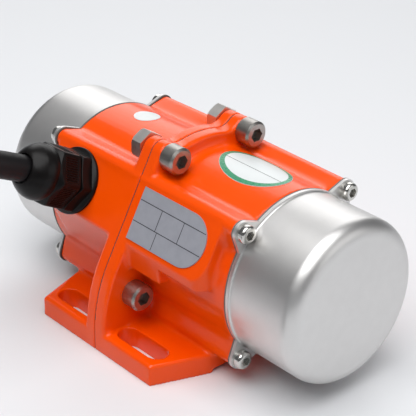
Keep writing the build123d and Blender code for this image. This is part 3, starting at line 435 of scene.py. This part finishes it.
rim_steps = 120
rim_width = 0.0023
rim_shift = 0.0004
rim_edge = 0.0001
rim_points = []
for step in range(rim_steps):
    angle = 2 * math.pi * step / rim_steps
    for inset, shift in ((rim_edge, 0), (rim_width, rim_shift)):
        along = (oval_half[0] - inset) * math.cos(angle)
        rim_points.append(on_label(along, (oval_half[1] - inset) * math.sin(angle) + shift))
total = len(rim_points)
rim_faces = [(i, (i + 2) % total, (i + 3) % total, i + 1) for i in range(0, total, 2)]
line_steps = 40
line_half = 0.00016
line_wide = -0.0019
line_slope = 0.125
line_reach = oval_half[0] - rim_width
for step in range(line_steps + 1):
    along = line_reach * (2 * step / line_steps - 1)
    for side in (-line_half, line_half):
        rim_points.append(on_label(along, line_wide + line_slope * along + side))
rim_faces += [(i, i + 2, i + 3, i + 1) for i in range(total, len(rim_points) - 2, 2)]
rim_mesh = bpy.data.meshes.new("oval_print")
rim_mesh.from_pydata(rim_points, [], rim_faces)
oval_print = new_object("oval_print", rim_mesh)
green_ink = finish("green_ink", [(0.012, 0.22, 0.10), (0.016, 0.26, 0.12)], (0.25, 0.33), 700)
rim_mesh.materials.append(green_ink)
rim_mesh.materials.append(black_ink)
for face in rim_mesh.polygons:
    face.material_index = 1 if face.index >= rim_steps else 0
    face.use_smooth = True
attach(oval_print, "root")
label_film = finish("label_film", [(0.64, 0.67, 0.67), (0.66, 0.69, 0.69)], (0.3, 0.36), 500, shine=0.3)
dress(["oval_label", "round_label"], label_film)

# Cable gland: moulded black nylon, screwed into the casting. The body has a round flange on the pad and a
# spanner hexagon, and the ribbed nut domes over to its mouth and squeezes a rubber seal on the sheath.
gland_seat = Vector((-0.040, -0.042742, 0.065990))
apothem = 0.0135
corner_limit = 0.01535
corner_ease = 0.0005
flat_ease = 0.0003
gland_turns = 720
rib_pitch = 0.00115
rib_depth = 0.00045
rib_reach = 0.0064
rib_side_fade = 0.0004
rib_end_fade = 0.0005
side_up = Vector((0, math.sin(side_lean), math.cos(side_lean)))
uncut = 0.0170


def soft_least(one, other, ease):
    """The smaller of two radii, eased where they are alike, as a moulded edge is."""
    gap = np.clip(0.5 + 0.5 * (other - one) / ease, 0, 1)
    return other * (1 - gap) + one * gap - ease * gap * (1 - gap)


def turned_piece(name, profile, bore, hexagon=None, ribs=None):
    """A closed ring about the gland's axis: profile and bore are (height, radius) up and back down."""
    around = np.linspace(0, 2 * np.pi, gland_turns, endpoint=False)
    off_middle = (np.degrees(around) % 60) - 30
    flat = apothem / np.cos(np.radians(off_middle))
    flat = soft_least(flat, np.full_like(flat, corner_limit), corner_ease)
    lateral = apothem * np.tan(np.radians(off_middle))
    rings = []
    for height, radius in profile:
        radii = np.full(gland_turns, radius)
        if hexagon and hexagon[0] <= height <= hexagon[1]:
            radii = soft_least(radii, flat, flat_ease)
            if ribs:
                inset = np.clip((rib_reach - np.abs(lateral)) / rib_side_fade, 0, 1)
                fade = min(1.0, max(0.0, min(height - ribs[0], ribs[1] - height) / rib_end_fade))
                wave = 0.5 - 0.5 * np.cos(2 * np.pi * lateral / rib_pitch)
                radii = radii - rib_depth * inset * fade * wave
        rings.append((height, radii))
    rings += [(height, np.full(gland_turns, radius)) for height, radius in bore]
    places = []
    for height, radii in rings:
        for angle, radius in zip(around, radii):
            place = gland_seat + side_out * height
            place += Vector((math.cos(angle), 0, 0)) * radius
            place += side_up * (math.sin(angle) * radius)
            places.append(place)
    faces = []
    for ring in range(len(rings)):
        here = ring * gland_turns
        there = (ring + 1) % len(rings) * gland_turns
        for step in range(gland_turns):
            beside = (step + 1) % gland_turns
            faces.append((here + step, here + beside, there + beside, there + step))
    mesh = bpy.data.meshes.new(name)
    mesh.from_pydata(places, [], faces)
    mesh.shade_smooth()
    return new_object(name, mesh)


def stations(*points, step=0.0004):
    """Points along straight stretches between the given (height, radius) pairs, a step apart."""
    spread = []
    for (h0, r0), (h1, r1) in zip(points, points[1:]):
        parts = max(1, math.ceil(math.hypot(h1 - h0, r1 - r0) / step))
        spread += [(h0 + (h1 - h0) * i / parts, r0 + (r1 - r0) * i / parts) for i in range(parts)]
    return spread + [points[-1]]


body_profile = [(0, 0.0110), (0, 0.0158), (0.0003, 0.0162)]
body_profile += [(0.0014, 0.0162), (0.0018, 0.0159), (0.0019, uncut)]
body_profile += stations((0.0020, uncut), (0.0068, uncut), (0.0078, 0.0144), (0.0080, 0.0138))
body_profile += [(0.0081, 0.0130), (0.0082, 0.0114), (0.0180, 0.0114)]
body_bore = [(0.0180, 0.0072), (0, 0.0072)]
gland_body = turned_piece("gland_body_moulding", body_profile, body_bore, hexagon=(0.0019, 0.0080))
nut_profile = [(0.0090, 0.0116), (0.0090, 0.0128)]
nut_profile += stations(
    (0.0090, 0.0140), (0.0096, uncut), (0.0172, uncut), (0.0196, 0.0150), (0.0212, 0.01335)
)
dome = [
    (0.0215, 0.0131), (0.0222, 0.0133), (0.0235, 0.0135), (0.0250, 0.0134),
    (0.0265, 0.0130), (0.0280, 0.0124), (0.0294, 0.0115), (0.0307, 0.0105),
    (0.0318, 0.0095), (0.0327, 0.0085), (0.0332, 0.0077), (0.0334, 0.0072),
]
nut_profile += stations(*dome, step=0.0006)
nut_bore = [(0.0333, 0.0069), (0.0328, 0.0068), (0.0262, 0.0070), (0.0262, 0.0110), (0.0095, 0.0116)]
nut_hexagon = (0.0090, 0.0212)
nut_ribs = (0.0104, 0.0182)
gland_nut = turned_piece("gland_nut_moulding", nut_profile, nut_bore, hexagon=nut_hexagon, ribs=nut_ribs)
nylon_tones = [(0.004, 0.0035, 0.0035), (0.006, 0.005, 0.005)]
black_nylon = finish("black_nylon", nylon_tones, (0.30, 0.34), 450, shine=0.17)
for piece, node in ((gland_body, "gland_body"), (gland_nut, "gland_nut")):
    piece.data.materials.append(black_nylon)
    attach(piece, "root")
    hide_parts(node)
dress(["gland_body", "gland_nut"], black_nylon)
seal_rubber = finish("seal_rubber", [(0.02, 0.02, 0.02), (0.03, 0.03, 0.03)], (0.6, 0.75), 450)
dress(["gland_seal"], seal_rubber)

# Cable: a round black rubber sheath, about a metre of it, out of the gland in a free bend to the floor, put
# away in a turn and a third and ending in a moulded plug.
sheath_radius = 0.0065
turn_radius = 0.065
turn_steps = 16
sweep_start = 200.0
sweep = 490.0
climb_start = 170.0
climb_end = 330.0
coil_middle = Vector((0.006, -0.2915))
gland_at = [(-0.040, -0.06037, 0.07544), (-0.040, -0.09738, 0.09529)]
free_bend = [
    (-0.0520, -0.1376, 0.0960),
    (-0.0725, -0.1695, 0.0780),
    (-0.0867, -0.1887, 0.0433),
    (-0.0877, -0.2122, 0.0198),
]
lead_in = [(-0.08119, -0.24201, sheath_radius), (-0.06983, -0.27321, sheath_radius)]
steps = round(sweep / 360 * turn_steps)
corner_radius = turn_radius / math.cos(math.radians(sweep / steps / 2))
turns = []
for step in range(steps):
    swept = (step + 0.5) * sweep / steps
    angle = math.radians(sweep_start + swept)
    lift = min(1.0, max(0.0, (swept - climb_start) / (climb_end - climb_start)))
    turns.append((
        coil_middle.x + corner_radius * math.cos(angle),
        coil_middle.y + corner_radius * math.sin(angle),
        sheath_radius + 2 * sheath_radius * lift,
    ))
tail = [
    (0.06229, -0.32400, 0.0195),
    (0.07629, -0.29975, 0.0195),
    (0.08300, -0.27100, 0.0195),
    (0.08400, -0.24300, 0.0140),
    (0.08400, -0.21500, 0.0140),
]
route = gland_at + free_bend + lead_in + turns + tail
line = bpy.data.curves.new("cable_sheath", "CURVE")
line.dimensions = "3D"
line.bevel_depth = sheath_radius
line.bevel_resolution = 6
line.resolution_u = 10
line.use_fill_caps = True
spline = line.splines.new("NURBS")
spline.points.add(len(route) - 1)
for point, place in zip(spline.points, route):
    point.co = (*place, 1)
spline.order_u = 3
spline.use_endpoint_u = True
sheath = bpy.data.objects.new("cable_sheath", line)
bpy.context.scene.collection.objects.link(sheath)
sheath_tones = [(0.006, 0.0055, 0.006), (0.009, 0.008, 0.009)]
sheath_rubber = finish("sheath_rubber", sheath_tones, (0.40, 0.5), 300, relief=0.00004, shine=0.22)
line.materials.append(sheath_rubber)
dress(["cable", "cable_coil", "cable_tail"], sheath_rubber)
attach(sheath, "root")
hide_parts("cable", "cable_coil", "cable_tail")
plug_tones = [(0.018, 0.018, 0.019), (0.026, 0.026, 0.027)]
plug_rubber = finish("plug_rubber", plug_tones, (0.4, 0.55), 350, relief=0.0001)
dress(["plug_body"], plug_rubber)
pin_brass = finish("pin_brass", [(0.55, 0.42, 0.16), (0.62, 0.48, 0.20)], (0.2, 0.3), 500, metal=1.0)
dress(["plug_pins"], pin_brass)
